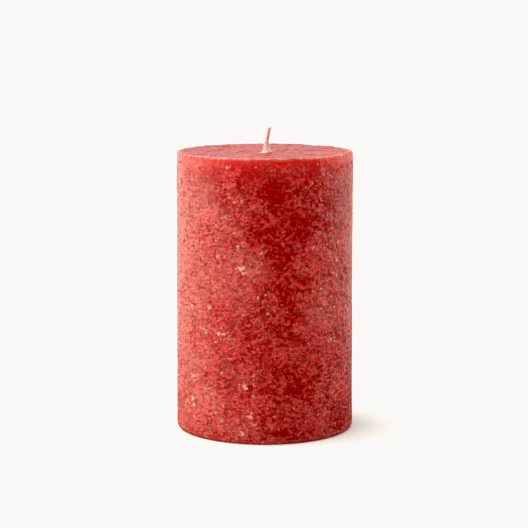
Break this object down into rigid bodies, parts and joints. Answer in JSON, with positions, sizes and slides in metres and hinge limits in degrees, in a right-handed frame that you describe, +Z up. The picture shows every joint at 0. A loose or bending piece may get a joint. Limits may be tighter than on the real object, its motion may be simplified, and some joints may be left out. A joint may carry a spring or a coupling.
{
  "type": "pillar candle",
  "caption": "Free-standing round pillar candle in dyed wax with a mottled rustic surface, an upright wick with a wax seal at its foot, and a sheet-metal wick tab recessed in its base.",
  "frame": {"origin": "centre of the candle's base, on the surface that it stands on", "axes": "+Z up along the candle's axis; the wick's tip leans towards +X; -Y is the side facing a viewer in front"},
  "size_m": [0.07, 0.07, 0.1194],
  "materials": {
    "dyed_wax": "red dyed paraffin wax, frosted and mottled, translucent, with a soft waxy sheen",
    "waxed_cotton": "braided cotton primed with wax, off-white tinted pink by the dyed wax",
    "seal_wax": "the same dyed wax in a thin smooth flare, so it looks paler",
    "tinplate": "bright tin-plated steel sheet, lightly scuffed"
  },
  "bodies": {
    "root": {"wax_pillar": "dyed_wax", "wick": "waxed_cotton", "wick_seal": "seal_wax", "wick_tab": "tinplate"}
  },
  "joints": []
}
